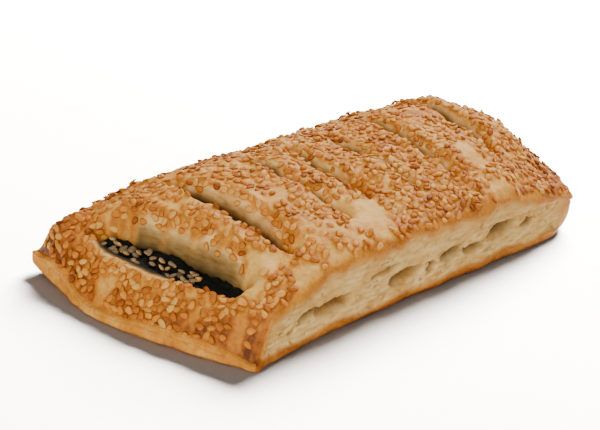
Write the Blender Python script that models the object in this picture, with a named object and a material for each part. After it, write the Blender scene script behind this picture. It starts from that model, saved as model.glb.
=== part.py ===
"""A puff-pastry strudel with a spinach filling, slits across its top and sesame seeds on its crust.

The long sides show the cut layers of the dough and its air pockets, and the short ends are
pressed shut. The filling is one slab that runs through the pastry and shows in the open slits.

Metres, +Z up. The strudel rests on Z = 0 and the origin is the middle of its base. -X is the
near end, where the widest slit is, and -Y is the front side.
"""

import math
import random
from collections import namedtuple

import bmesh
import bpy
import numpy as np
from mathutils import Matrix, Vector, noise

MM = 0.001

# The whole strudel
LENGTH = 183.5 * MM  # along the middle
WIDTH = 82 * MM
CREST = 31.5 * MM  # height of the dome's top over the near half, before the seeds
FAR_CREST = 35.1 * MM  # and at the far end, which puffed higher

# Plan outline: each end's slant and bow across the width
End = namedtuple("End", "slant bow")
NEAR_END = End(-8.8 * MM, 10.4 * MM)
FAR_END = End(2.3 * MM, -7.0 * MM)
NEAR_FLARE = 0.045  # share of each half side by which the near corners flare out
EDGE_WAVE = 0.9 * MM  # unevenness of the outline
WAVE_SIZE = 20 * MM
NEAR_ROUND = 2.5 * MM  # radius of the corners in plan
FAR_ROUND = 5 * MM

# Heights of the rim, where the crust turns over
NEAR_RIM = 4.5 * MM
NEAR_RIM_BACK = 9.5 * MM  # its back corner curled up
CORNER_CURL = 3.5 * MM  # lift of the base there
FAR_RIM = 17 * MM
CORNER_RIM = 17.5 * MM  # of the long sides, just past the ends
CORNER_DROP = 4.5 * MM  # how much lower the far corners are
CORNER_SPREAD = 9 * MM  # from the corner, over which that fades out
SIDE_RISE = 5.5 * MM  # the long sides puffed up this much more in the middle
SIDE_TILT = 1.5 * MM  # the front side more than this, the back side less
RIM_ROUND = 4.5 * MM  # width of the rounded edge of the crust
RIM_DROP = 2.2 * MM
FRONT_SHOULDER = 33 * MM  # from a long side in to the top of the dome
FAR_SHOULDER = 38 * MM  # the same at the front far corner, which is flatter
FAR_STEEPER = 1.4  # and hollower below
BACK_SHOULDER = 33 * MM
NEAR_REACH = 18.5 * MM  # how far in from each end the dome takes to rise
NEAR_POWER = 1.27  # and how gently it starts
FAR_REACH = 13 * MM
FAR_POWER = 1.9
CORNER_REACH = 6 * MM  # the same for the long sides near the near end
SIDE_REACH = 48 * MM  # how far in from the ends the long sides reach their full height
FLAT_CORNER = (40 * MM, 80 * MM)  # along X, where the far corner grows flatter
BUMP = 1.1 * MM  # unevenness of the crust
BUMP_SIZE = 15 * MM
BUMP_MARGIN = 12 * MM  # from the rim, over which it fades in
FOOT_TURN = 0.6 * MM  # how far the sides turn in at the foot and under the crust
LIP_TURN = 1.5 * MM
LIP_START = 0.86  # height where that starts, of the whole
FAR_TUCK = 2.6 * MM  # how much more at the far end, which is rounded
SEAM = 0.5 * MM  # depth of the line where the pressed ends' two sheets meet

# The slits, pressed open as the dough rose
WALL_POWER = 1.8  # how round the ridges between the slits are
BRIDGE = 0.35  # how far a filled-up middle reaches, of half the slit
Slit = namedtuple("Slit", "place slant front back depth gape wall lip bridge")
SLITS = (
    # place along the middle line, slant across the width, tips along Y, depth, width of the
    # floor, of the far wall and of the near one, and the share by which the middle is filled up
    Slit(-71.0 * MM, -9.0 * MM, -29 * MM, 29 * MM, 10.0 * MM, 11.0 * MM, 6.0 * MM, 6.5 * MM, 0.0),
    Slit(-49.5 * MM, -3.6 * MM, -28 * MM, 26 * MM, 14.0 * MM, 4.4 * MM, 6.0 * MM, 1.8 * MM, 0.0),
    Slit(-22.5 * MM, -3.4 * MM, -26 * MM, 23 * MM, 7.0 * MM, 0.8 * MM, 5.0 * MM, 1.8 * MM, 0.7),
    Slit(-7.5 * MM, -1.0 * MM, -22 * MM, 21 * MM, 9.5 * MM, 1.4 * MM, 5.5 * MM, 1.8 * MM, 0.0),
    Slit(12.5 * MM, 0.8 * MM, -27 * MM, 20 * MM, 7.5 * MM, 1.0 * MM, 4.6 * MM, 1.8 * MM, 0.6),
    Slit(32.5 * MM, 4.4 * MM, -27 * MM, 24 * MM, 8.5 * MM, 1.0 * MM, 5.0 * MM, 1.8 * MM, 0.1),
    Slit(58.5 * MM, 5.0 * MM, -22 * MM, 24 * MM, 8.5 * MM, 2.0 * MM, 6.0 * MM, 1.8 * MM, 0.0),
)
SLIT_FLOOR = 15.4 * MM  # they go down no further than this above the base
OPEN_SLITS = 2  # counted from the near end, these reach the filling
PLUG_WIDER = 0.3 * MM  # what cuts them open, against the slit's floor and its tips
PLUG_SHORTER = 2 * MM

# The filling and the pocket that it lies in
FILLING_LENGTH = 165 * MM
FILLING_WIDTH = 62 * MM
FILLING_BASE = 4.5 * MM
FILLING_TOP = 13.8 * MM
LUMP = 0.7 * MM
CLEARANCE = 0.4 * MM  # gap between the filling and the pastry
SLAB_STEPS = 7  # facets along half of the slab
SLAB_EDGE = 0.65  # height of its rounded edge, of the whole

# Air pockets between the layers of the cut sides
Pocket = namedtuple("Pocket", "along up length height")
POCKETS = (
    Pocket(-60.0 * MM, 7.4 * MM, 4.0 * MM, 1.6 * MM),
    Pocket(-51.5 * MM, 10.2 * MM, 8.6 * MM, 3.4 * MM),
    Pocket(-40.2 * MM, 9.4 * MM, 15.0 * MM, 4.6 * MM),
    Pocket(-18.0 * MM, 14.4 * MM, 12.5 * MM, 1.8 * MM),
    Pocket(-8.5 * MM, 9.2 * MM, 13.0 * MM, 4.2 * MM),
    Pocket(3.8 * MM, 8.6 * MM, 4.4 * MM, 3.8 * MM),
    Pocket(14.0 * MM, 11.0 * MM, 11.0 * MM, 4.0 * MM),
    Pocket(25.5 * MM, 9.4 * MM, 10.0 * MM, 3.2 * MM),
    Pocket(38.5 * MM, 12.2 * MM, 15.0 * MM, 5.2 * MM),
    Pocket(53.4 * MM, 11.4 * MM, 7.0 * MM, 3.0 * MM),
    Pocket(64.4 * MM, 14.4 * MM, 2.8 * MM, 2.2 * MM),
)
POCKET_DEPTH = 2.6 * MM
POCKET_INSET = 0.3 * MM  # of its middle from the outline
SIDE_LEVELS = (0.0, 0.09, 0.35, 0.62, 0.86, 1.0)  # of the height of the cut sides
LAYER_RELIEF = 0.5 * MM  # unevenness of the cut sides
LAYER_SIZE = 9 * MM
LAYER_SPREAD = 40 * MM  # stretch of that unevenness with height
RIM_STEPS = (1.2 * MM, 3.6 * MM, 7.5 * MM)  # facets of the crust in from its edge
RIDGE_STEP = 5.5 * MM  # about the longest facet across a ridge
ACROSS_STEPS = 12

# Sesame
SEED_LENGTH = 3.2 * MM
SEED_WIDTH = 2.0 * MM
SEED_THICKNESS = 1.3 * MM
SEED_SINK = 0.1 * MM  # of its middle below the surface
SEED_PITCH = 9.6 * MM
SEED_MARGIN = 3.5 * MM  # from the edge of the crust
STEEPEST = 0.75  # upward part of the normal under a seed
LOOSE_SEEDS = 9  # fallen on the filling in the widest slit
LOOSE_START = 8 * MM  # from that slit's back tip
SEED_SIDES = 5
SEED_RINGS = 3
RANDOM_SEED = 7


def ease(value):
    """0 below 0, 1 above 1, and smooth between."""
    value = np.clip(value, 0.0, 1.0)
    return value * value * (3 - 2 * value)


def wobble(points, scale, key):
    """Smooth noise from about -1 to 1, one value for each row of points."""
    shift = Vector((17.3 * key, -9.1 * key, 5.7 * key))
    return 2 * np.array([noise.noise(Vector(p) / scale + shift) for p in points])


# ---------------------------------------------------------------- the form of the pastry


def near_edge(v):
    """X of the near end's rim across the width, v from -1 at the front to 1 at the back."""
    return -LENGTH / 2 + NEAR_END.slant * v + NEAR_END.bow * v * v


def far_edge(v):
    """X of the far end's rim across the width."""
    return LENGTH / 2 + FAR_END.slant * v + FAR_END.bow * v * v


def slit_line(slit, v):
    """X of a slit's middle across the width."""
    return slit.place + slit.slant * v


def rounded(u, v):
    """A point of the unit square with the corners of the outline drawn in round."""
    radius = np.where(u < 0, NEAR_ROUND, FAR_ROUND)
    p = np.clip((np.abs(u) - 1) * LENGTH / 2 / radius + 1, 0, 1)
    q = np.clip((np.abs(v) - 1) * WIDTH / 2 / radius + 1, 0, 1)
    pull_u = p * (1 - np.sqrt(1 - q * q / 2)) * radius / (LENGTH / 2)
    pull_v = q * (1 - np.sqrt(1 - p * p / 2)) * radius / (WIDTH / 2)
    return u - np.sign(u) * pull_u, v - np.sign(v) * pull_v


def footprint(u, v):
    """Plan place of a point of the unit square, its lines across the width fanned as the slits."""
    u, v = rounded(u, v)
    corner = np.where(u < 0, NEAR_FLARE, 0)
    along = u * (1 + 0.5 * corner * np.abs(v * u) ** 9)
    across = v * (1 + corner * np.abs(u) ** 9)
    anchors = [-1] + [slit.place / (LENGTH / 2) for slit in SLITS] + [1]
    slants = [NEAR_END.slant] + [slit.slant for slit in SLITS] + [FAR_END.slant]
    bows = [NEAR_END.bow] + [0] * len(SLITS) + [FAR_END.bow]
    x = along * LENGTH / 2
    x = x + np.interp(u, anchors, slants) * across + np.interp(u, anchors, bows) * across**2
    y = across * WIDTH / 2
    flat = np.column_stack([x, y, np.zeros_like(x)])
    rim = np.maximum(np.abs(u), np.abs(v)) ** 6
    y = y + EDGE_WAVE * rim * wobble(flat, WAVE_SIZE, 1)
    x = x + EDGE_WAVE * rim * wobble(flat, WAVE_SIZE, 2)
    return x, y


def end_rise(distance, rim, top, reach, power):
    """Height along the middle line at a distance from an end: rim there, top far from it."""
    return rim + (top - rim) * (1 - np.exp(-((distance / reach) ** power)))


def slit_lines(x, y):
    """Yields each slit with its depth there, the distance across it and the share along it."""
    v = y / (WIDTH / 2)
    for slit in SLITS:
        middle = (slit.front + slit.back) / 2
        along = (y - middle) / ((slit.back - slit.front) / 2)
        depth = slit.depth * (1 - slit.bridge * np.exp(-((along / BRIDGE) ** 2)))
        yield slit, depth, x - slit_line(slit, v), along


def ridge_drop(x, y):
    """How far the slits and the rounded ridges between them lie below the dome."""
    deepest = np.zeros_like(x)
    for slit, depth, across, along in slit_lines(x, y):
        fade = np.clip(1 - along**2, 0, 1)
        beyond = np.maximum(np.abs(across) - slit.gape / 2 * np.sqrt(fade), 0)
        within = np.clip(1 - beyond / np.where(across > 0, slit.wall, slit.lip), 0, 1)
        deepest = np.maximum(deepest, depth * fade**0.5 * within**WALL_POWER)
    return deepest


def edge_distances(x, y):
    """Distance of a plan position from the near end, the far end and the nearer long side."""
    v = np.clip(y / (WIDTH / 2), -1, 1)
    return x - near_edge(v), far_edge(v) - x, WIDTH / 2 - np.abs(y)


def dome_height(x, y):
    """Height of the top at a plan position, without the slits."""
    v = np.clip(y / (WIDTH / 2), -1, 1)
    from_near, from_far, from_side = (np.maximum(d, 0) for d in edge_distances(x, y))
    crest = CREST + (FAR_CREST - CREST) * ease(x / (LENGTH / 2))
    near_rim = NEAR_RIM + (NEAR_RIM_BACK - NEAR_RIM) * ease(v) ** 2
    middle = np.minimum(
        end_rise(from_near, near_rim, crest, NEAR_REACH, NEAR_POWER),
        end_rise(from_far, FAR_RIM, crest, FAR_REACH, FAR_POWER),
    )
    side = near_rim + (CORNER_RIM - near_rim) * ease(from_near / CORNER_REACH)
    rise = SIDE_RISE - SIDE_TILT * v
    side = side + rise * ease(from_near / SIDE_REACH) * ease(from_far / SIDE_REACH)
    start, end = FLAT_CORNER
    far = ease((x - start) / (end - start)) * (v < 0)
    reach = np.where(v < 0, FRONT_SHOULDER + (FAR_SHOULDER - FRONT_SHOULDER) * far, BACK_SHOULDER)
    shoulder = np.sin(math.pi / 2 * np.clip(from_side / reach, 0, 1)) ** (1 + FAR_STEEPER * far)
    height = side + (middle - side) * shoulder
    edge = np.minimum(np.minimum(from_near, from_far), from_side)
    height = height - RIM_DROP * np.clip(1 - edge / RIM_ROUND, 0, 1) ** 2
    return height - CORNER_DROP * np.exp(-(((from_far + from_side) / CORNER_SPREAD) ** 2))


def top_height(x, y):
    """Height of the pastry's top at a plan position, without the seeds."""
    edge = np.minimum.reduce(edge_distances(x, y))
    flat = np.column_stack([x, y, np.zeros_like(x)])
    dome = dome_height(x, y) + BUMP * wobble(flat, BUMP_SIZE, 3) * ease(edge / BUMP_MARGIN)
    return dome - np.minimum(ridge_drop(x, y), np.maximum(dome - SLIT_FLOOR, 0))


def base_height(u, v):
    """The base lies flat but for the near end's back corner, which curls up."""
    return CORNER_CURL * np.clip((-u + v - 1.6) / 0.4, 0, 1) ** 2


def rim_turn(u, level):
    """How far the rim turns in under the crust, at the foot and at the rounded far end."""
    foot = FOOT_TURN * np.clip(1 - level / 0.12, 0, 1)
    lip = LIP_TURN * np.clip((level - LIP_START) / (1 - LIP_START), 0, 1) ** 2
    far = ease((u - 0.85) / 0.15)
    tuck = FAR_TUCK * far * (np.clip(1 - level / 0.5, 0, 1) ** 2 + np.clip(level / 0.4 - 1.5, 0, 1) ** 2)
    return foot + lip + tuck


def side_offset(u, v, level, x):
    """How far a point of the rim stands out of the outline, by its share of the rim's height."""
    at_end = np.abs(u) > 0.99
    seam = SEAM * at_end * np.exp(-(((level - 0.5) / 0.16) ** 2))
    probe = np.column_stack([x, np.sign(v) * WIDTH, level * LAYER_SPREAD])
    layers = LAYER_RELIEF * wobble(probe, LAYER_SIZE, 5) * ~at_end * ease(level / 0.1)
    return layers - seam - rim_turn(u, level)


# ---------------------------------------------------------------- building blocks


def new_object(name, mesh, collection):
    made = bpy.data.objects.new(name, mesh)
    collection.objects.link(made)
    return made


def new_collection(name):
    made = bpy.data.collections.new(name)
    bpy.context.scene.collection.children.link(made)
    return made


def lattice_box(stations):
    """A closed box from -1 to 1 each way, its faces cut at the stations along X, Y and Z."""
    box = bmesh.new()
    bmesh.ops.create_cube(box, size=2)
    for axis, places in enumerate(stations):
        normal = Vector((0, 0, 0))
        normal[axis] = 1
        for place in places:
            bmesh.ops.bisect_plane(
                box,
                geom=box.verts[:] + box.edges[:] + box.faces[:],
                dist=1e-6,
                plane_co=normal * place,
                plane_no=normal,
            )
    return box


def finished(box, name):
    """The bmesh as a mesh of its own."""
    mesh = bpy.data.meshes.new(name)
    box.to_mesh(mesh)
    box.free()
    return mesh


def boolean(target, helpers, operation):
    """Joins a collection of objects to the target, or cuts them out, and removes them."""
    modifier = target.modifiers.new(operation.title(), "BOOLEAN")
    modifier.operation = operation
    modifier.operand_type = "COLLECTION"
    modifier.collection = helpers
    modifier.solver = "MANIFOLD"
    graph = bpy.context.evaluated_depsgraph_get()
    joined = bpy.data.meshes.new_from_object(target.evaluated_get(graph))
    target.modifiers.clear()
    target.data = joined
    for helper in list(helpers.objects):
        bpy.data.objects.remove(helper)
    bpy.data.collections.remove(helpers)


def material(name, colour, roughness):
    made = bpy.data.materials.new(name)
    made.use_nodes = True
    surface = made.node_tree.nodes["Principled BSDF"]
    surface.inputs["Base Color"].default_value = (*colour, 1)
    surface.inputs["Roughness"].default_value = roughness
    surface.inputs["Metallic"].default_value = 0
    made.diffuse_color = (*colour, 1)
    return made


# ---------------------------------------------------------------- the pastry


def along_stations():
    """Where the lattice is cut along the strudel: close at the slits and at both ends."""
    half = LENGTH / 2
    rim = [half - step for step in RIM_STEPS]
    spans = [(-rim[-1], -rim[-1])]
    for slit in SLITS:
        spans.append((slit.place - slit.gape / 2 - slit.lip, slit.place + slit.gape / 2 + slit.wall))
    spans.append((rim[-1], rim[-1]))
    places = [-place for place in rim] + rim
    for slit, (start, end) in zip(SLITS, spans[1:-1]):
        places += [start, start + 0.6 * slit.lip, start + slit.lip]
        places += [end - share * slit.wall for share in (1, 0.75, 0.4, 0)]
    for (_, start), (end, _) in zip(spans, spans[1:]):
        count = max(1, round((end - start) / RIDGE_STEP))
        places += [start + (end - start) * i / count for i in range(1, count)]
    return [place / half for place in sorted(places)]


def across_stations():
    """Where the lattice is cut across the strudel: close at both rims."""
    half = WIDTH / 2
    places = [side * (half - step) for side in (-1, 1) for step in RIM_STEPS]
    inner = half - 1.6 * RIM_STEPS[-1]
    places += [inner * (2 * i / ACROSS_STEPS - 1) for i in range(ACROSS_STEPS + 1)]
    return [place / half for place in sorted(places)]


def pastry_body(collection):
    """The baked case with no hollow in it yet."""
    levels = [2 * level - 1 for level in SIDE_LEVELS[1:-1]]
    box = lattice_box((along_stations(), across_stations(), levels))
    unit = np.array([vert.co for vert in box.verts])
    u, v, level = unit[:, 0], unit[:, 1], (unit[:, 2] + 1) / 2
    x, y = footprint(u, v)
    outward = np.column_stack([np.sign(u) * (np.abs(u) > 0.999), np.sign(v) * (np.abs(v) > 0.999)])
    outward = outward / np.maximum(np.linalg.norm(outward, axis=1, keepdims=True), 1)
    offset = side_offset(u, v, level, x)
    x_side, y_side = x + outward[:, 0] * offset, y + outward[:, 1] * offset
    low = base_height(u, v)
    z = low + level * (top_height(x, y) - low)
    for vert, place in zip(box.verts, np.column_stack([x_side, y_side, z])):
        vert.co = place
    flat = [face for face in box.faces if all(abs(vert.co.z) < 0.01 * MM for vert in face.verts)]
    bmesh.ops.dissolve_faces(box, faces=flat)
    return new_object("pastry", finished(box, "pastry"), collection)


def slit_cutters(collection):
    """A lens-shaped plug for each open slit, from inside the filling's pocket up."""
    for number, slit in enumerate(SLITS[:OPEN_SLITS]):
        plug = bmesh.new()
        bmesh.ops.create_cone(plug, cap_ends=True, segments=20, radius1=0.8, radius2=1, depth=1)
        size = (slit.gape / 2 + PLUG_WIDER, (slit.back - slit.front) / 2 - PLUG_SHORTER, CREST)
        across = (slit.front + slit.back) / 2
        along = slit_line(slit, across / (WIDTH / 2))
        turn = Matrix.Rotation(-math.atan(slit.slant / (WIDTH / 2)), 4, "Z")
        plug.transform(Matrix.Diagonal((*size, 1)))
        plug.transform(turn)
        plug.transform(Matrix.Translation((along, across, FILLING_TOP - PLUG_SHORTER + CREST / 2)))
        new_object(f"slit_cutter_{number}", finished(plug, "slit_cutter"), collection)


def pocket_cutters(collection):
    """Flattened bubbles let into both cut sides; the back has them in another order."""
    for side in (-1, 1):
        for number, pocket in enumerate(POCKETS):
            bubble = bmesh.new()
            bmesh.ops.create_uvsphere(bubble, u_segments=8, v_segments=5, radius=1)
            size = (pocket.length / 2, POCKET_DEPTH, pocket.height / 2)
            place = (-side * pocket.along, side * (WIDTH / 2 - POCKET_INSET), pocket.up)
            bubble.transform(Matrix.LocRotScale(Vector(place), None, Vector(size)))
            new_object(f"pocket_{side}_{number}", finished(bubble, "pocket"), collection)


# ---------------------------------------------------------------- the filling


def filling_height(x, y):
    """Height of the filling's lumpy top."""
    return FILLING_TOP + 2 * LUMP * noise.noise(Vector((x, y, 0)) / (11 * MM))


def slab(name, grow, collection):
    """The filling's lumpy slab, or with grow the pocket round it."""
    along = [i / SLAB_STEPS for i in range(1 - SLAB_STEPS, SLAB_STEPS)]
    box = lattice_box((along + [-0.97, 0.97], along[::2] + [-0.94, 0.94], ()))
    for vert in box.verts:
        u, v, w = vert.co
        inward = 1 - 0.14 * abs(u * v) ** 5
        x, y = FILLING_LENGTH / 2 * u * inward, FILLING_WIDTH / 2 * v * inward
        x += (near_edge(y / (WIDTH / 2)) + LENGTH / 2) * max(0, -u)
        middle = (FILLING_TOP + FILLING_BASE) / 2
        half = grow + (filling_height(x, y) - middle if w > 0 else middle - FILLING_BASE)
        edge = SLAB_EDGE if max(abs(u), abs(v)) > 0.99 else 1
        vert.co = (x + grow * u, y + grow * v, middle + w * half * edge)
    return new_object(name, finished(box, name), collection)


# ---------------------------------------------------------------- the seeds


def seed_shape():
    """One sesame seed, flat and drawn to a point at one end, lying along X."""
    seed = bmesh.new()
    bmesh.ops.create_uvsphere(seed, u_segments=SEED_SIDES, v_segments=SEED_RINGS, radius=0.5)
    seed.transform(Matrix.Rotation(math.pi / 2, 4, "Y"))
    for vert in seed.verts:
        taper = 1 - 0.5 * max(vert.co.x, 0)
        vert.co.y *= taper
        vert.co.z *= taper
    seed.transform(Matrix.Diagonal((SEED_LENGTH, SEED_WIDTH, SEED_THICKNESS, 1)))
    return finished(seed, "sesame")


def lay_seed(name, shape, target, spot, collection):
    """Lays a seed flat on what lies under the plan position, a little over half sunk in it."""
    x, y, turn = spot
    found, place, normal, _ = target.ray_cast(Vector((x, y, 2 * CREST)), Vector((0, 0, -1)))
    if not found or normal.z < STEEPEST:
        return
    seed = new_object(name, shape, collection)
    upright = Vector((0, 0, 1)).rotation_difference(normal).to_matrix().to_4x4()
    sunk = Matrix.Translation(place - SEED_SINK * normal)
    seed.matrix_world = sunk @ upright @ Matrix.Rotation(turn, 4, "Z")


def in_open_slit(x, y):
    lines = list(slit_lines(np.array([x]), np.array([y])))[:OPEN_SLITS]
    return any(
        abs(along[0]) < 1 and abs(across[0]) < slit.gape / 2 + SEED_LENGTH
        for slit, _, across, along in lines
    )


def crust_seeds(shape, pastry, collection):
    """Seeds on an uneven triangular grid all over the crust, clear of the open slits."""
    draw = random.Random(RANDOM_SEED)
    row_step = SEED_PITCH * math.sqrt(3) / 2
    rows, columns = int(WIDTH / row_step) + 1, int(LENGTH * 1.1 / SEED_PITCH) + 1
    for row in range(rows):
        for column in range(columns):
            x = (column - columns / 2 + 0.5 * (row % 2) + draw.uniform(-0.3, 0.3)) * SEED_PITCH
            y = (row - rows / 2 + 0.5) * row_step + draw.uniform(-0.3, 0.3) * SEED_PITCH
            turn = draw.uniform(0, 2 * math.pi)
            if min(edge_distances(x, y)) > SEED_MARGIN and not in_open_slit(x, y):
                lay_seed(f"seed_{row}_{column}", shape, pastry, (x, y, turn), collection)


def fallen_seeds(shape, filling, collection):
    """Seeds that fell through the widest slit and lie along the filling in it."""
    draw = random.Random(RANDOM_SEED + 1)
    slit = SLITS[0]
    span = (slit.back - slit.front) / 2
    for number in range(LOOSE_SEEDS):
        y = slit.back - LOOSE_START - span * number / (LOOSE_SEEDS - 1)
        x = slit_line(slit, y / (WIDTH / 2)) + draw.uniform(-0.2, 0.2) * slit.gape
        turn = draw.uniform(0, 2 * math.pi)
        lay_seed(f"fallen_{number}", shape, filling, (x, y, turn), collection)


# ---------------------------------------------------------------- assembly


def rest_on_origin(objects):
    """Moves the strudel so that its box stands centred on the origin."""
    corners = np.array([vert.co for made in objects for vert in made.data.vertices])
    low, high = corners.min(axis=0), corners.max(axis=0)
    move = Matrix.Translation((-(low[0] + high[0]) / 2, -(low[1] + high[1]) / 2, -low[2]))
    for made in objects:
        made.data.transform(move)


def main():
    for old in list(bpy.data.objects):
        bpy.data.objects.remove(old)
    strudel = new_collection("strudel")
    shape = seed_shape()

    pastry = pastry_body(strudel)
    cutters = new_collection("cutters")
    slab("pocket_for_filling", CLEARANCE, cutters)
    slit_cutters(cutters)
    pocket_cutters(cutters)
    boolean(pastry, cutters, "DIFFERENCE")
    on_crust = new_collection("crust_seeds")
    crust_seeds(shape, pastry, on_crust)
    boolean(pastry, on_crust, "UNION")

    filling = slab("filling", 0, strudel)
    on_filling = new_collection("fallen_seeds")
    fallen_seeds(shape, filling, on_filling)
    boolean(filling, on_filling, "UNION")

    pastry.data.materials.append(material("baked_pastry", (0.72, 0.43, 0.18), 0.5))
    filling.data.materials.append(material("spinach", (0.012, 0.016, 0.009), 0.4))
    rest_on_origin([pastry, filling])
    for made in (pastry, filling):
        made.data.shade_smooth()
        made.data.set_sharp_from_angle(angle=math.radians(40))


main()
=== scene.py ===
"""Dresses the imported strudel: baked crust, cut flaky sides, sesame and the spinach in its slits.

Metres, +Z up, in the frame of the solids: the strudel rests on Z = 0, -X is the near end with
the widest slit and -Y is the front side. Each piece is made by an operator of its own.
"""

import math
from collections import namedtuple

import bpy
import numpy as np
from bpy.props import FloatProperty, FloatVectorProperty, IntProperty, PointerProperty
from mathutils import Matrix, Vector, noise
from mathutils.kdtree import KDTree


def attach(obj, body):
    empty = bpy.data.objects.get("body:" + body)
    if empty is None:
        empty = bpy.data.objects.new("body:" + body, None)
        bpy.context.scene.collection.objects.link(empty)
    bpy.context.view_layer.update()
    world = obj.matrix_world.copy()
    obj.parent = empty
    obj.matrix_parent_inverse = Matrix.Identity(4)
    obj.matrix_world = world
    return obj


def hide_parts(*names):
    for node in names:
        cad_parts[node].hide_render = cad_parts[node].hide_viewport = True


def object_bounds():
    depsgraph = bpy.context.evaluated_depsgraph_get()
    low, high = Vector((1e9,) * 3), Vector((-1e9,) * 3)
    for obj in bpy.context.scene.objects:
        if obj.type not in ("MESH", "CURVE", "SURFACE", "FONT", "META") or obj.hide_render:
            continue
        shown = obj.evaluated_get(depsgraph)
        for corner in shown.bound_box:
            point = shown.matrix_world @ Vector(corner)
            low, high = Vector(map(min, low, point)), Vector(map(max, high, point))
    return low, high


bl_info = {
    "name": "Sesame and spinach strudel",
    "version": (1, 0, 0),
    "blender": (4, 5, 0),
    "location": "View3D > Sidebar > Strudel",
    "description": "Bakes the looks of a puff-pastry strudel round its solids",
    "category": "Add Mesh",
}

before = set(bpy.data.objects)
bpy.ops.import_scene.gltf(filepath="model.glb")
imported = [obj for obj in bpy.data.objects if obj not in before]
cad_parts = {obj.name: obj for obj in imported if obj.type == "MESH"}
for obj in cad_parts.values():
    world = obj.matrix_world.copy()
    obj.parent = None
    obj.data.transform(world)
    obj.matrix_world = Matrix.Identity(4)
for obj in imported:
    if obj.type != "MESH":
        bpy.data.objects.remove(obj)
CAD_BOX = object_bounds()
BODY = "root"

MM = 0.001
SHIFT = np.array((1.387 * MM, 0.305 * MM, 0.0))  # from the form's own origin to the frame's


def in_metres(kind, *table):
    """Rows of millimetres as tuples of a kind, in metres."""
    return [kind(*(size * MM for size in sizes)) for sizes in table]


# The form, with the values of the solids
LENGTH = 183.5 * MM
WIDTH = 82 * MM
CREST = 31.5 * MM  # height of the dome over the near half
FAR_CREST = 35.1 * MM  # and at the far end, which puffed higher
End = namedtuple("End", "slant bow")
NEAR_END = End(-8.8 * MM, 10.4 * MM)
FAR_END = End(2.3 * MM, -7.0 * MM)
NEAR_FLARE = 0.045  # share by which the near corners flare out
EDGE_WAVE = 0.9 * MM  # unevenness of the outline
WAVE_SIZE = 20 * MM
NEAR_ROUND = 2.5 * MM  # radius of the corners in plan
FAR_ROUND = 5 * MM
NEAR_RIM = 4.5 * MM  # heights where the crust turns over
NEAR_RIM_BACK = 9.5 * MM  # its back corner curled up
CORNER_CURL = 3.5 * MM  # lift of the base there
FAR_RIM = 17 * MM
CORNER_RIM = 17.5 * MM  # of the long sides, just past the ends
CORNER_DROP = 4.5 * MM  # how much lower the far corners are
CORNER_SPREAD = 9 * MM
SIDE_RISE = 5.5 * MM  # how much the long sides puffed up
SIDE_TILT = 1.5 * MM  # more at the front, less at the back
RIM_ROUND = 4.5 * MM  # width of the rounded edge of the crust
RIM_DROP = 2.2 * MM
FRONT_SHOULDER = 33 * MM  # from a long side in to the top of the dome
FAR_SHOULDER = 38 * MM  # the same at the front far corner, which is flatter
FAR_STEEPER = 1.4  # and hollower below
BACK_SHOULDER = 33 * MM
NEAR_REACH = 18.5 * MM  # how far in from the end the dome takes to rise
NEAR_POWER = 1.27  # and how gently it starts
FAR_REACH = 13 * MM
FAR_POWER = 1.9
CORNER_REACH = 6 * MM  # the same for the long sides near the near end
SIDE_REACH = 48 * MM  # where the long sides reach full height
FLAT_CORNER = (40 * MM, 80 * MM)  # along X, where the far corner grows flatter
BUMP = 1.1 * MM  # unevenness of the crust
BUMP_SIZE = 15 * MM
BUMP_MARGIN = 12 * MM  # from the rim, over which it fades in
FOOT_TURN = 0.6 * MM  # how far the sides turn in at the foot
LIP_TURN = 1.5 * MM  # and under the crust
LIP_START = 0.86  # height where that starts, of the whole
FAR_TUCK = 2.6 * MM  # more at the rounded far end
SEAM = 0.5 * MM  # depth of the line where sheets meet
WALL_POWER = 1.8  # how round the ridges between the slits are
BRIDGE = 0.35  # reach of a filled-up middle
Slit = namedtuple("Slit", "place slant front back depth gape wall lip bridge")
# Millimetres: place and slant, tips along Y, depth, width of the floor, of the far wall and of the
# near one. The last number is the share by which the middle is filled up.
SLITS = [
    Slit(*(size * MM for size in sizes), bridge)
    for *sizes, bridge in (
        (-71, -9, -29, 29, 10, 11, 6, 6.5, 0),
        (-49.5, -3.6, -28, 26, 14, 4.4, 6, 1.8, 0),
        (-22.5, -3.4, -26, 23, 7, 0.8, 5, 1.8, 0.7),
        (-7.5, -1, -22, 21, 9.5, 1.4, 5.5, 1.8, 0),
        (12.5, 0.8, -27, 20, 7.5, 1, 4.6, 1.8, 0.6),
        (32.5, 4.4, -27, 24, 8.5, 1, 5, 1.8, 0.1),
        (58.5, 5, -22, 24, 8.5, 2, 6, 1.8, 0),
    )
]
SLIT_FLOOR = 15.4 * MM  # the slits go no further down than this
OPEN_SLITS = 2  # from the near end on
FILLING_LENGTH = 165 * MM
FILLING_WIDTH = 62 * MM
FILLING_BASE = 4.5 * MM
FILLING_TOP = 13.8 * MM
LUMP = 0.7 * MM
Pocket = namedtuple("Pocket", "along up length height")
POCKETS = in_metres(
    Pocket,
    (-60, 7.4, 4, 1.6),
    (-51.5, 10.2, 8.6, 3.4),
    (-40.2, 9.4, 15, 4.6),
    (-18, 14.4, 12.5, 1.8),
    (-8.5, 9.2, 13, 4.2),
    (3.8, 8.6, 4.4, 3.8),
    (14, 11, 11, 4),
    (25.5, 9.4, 10, 3.2),
    (38.5, 12.2, 15, 5.2),
    (53.4, 11.4, 7, 3),
    (64.4, 14.4, 2.8, 2.2),
)

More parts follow.
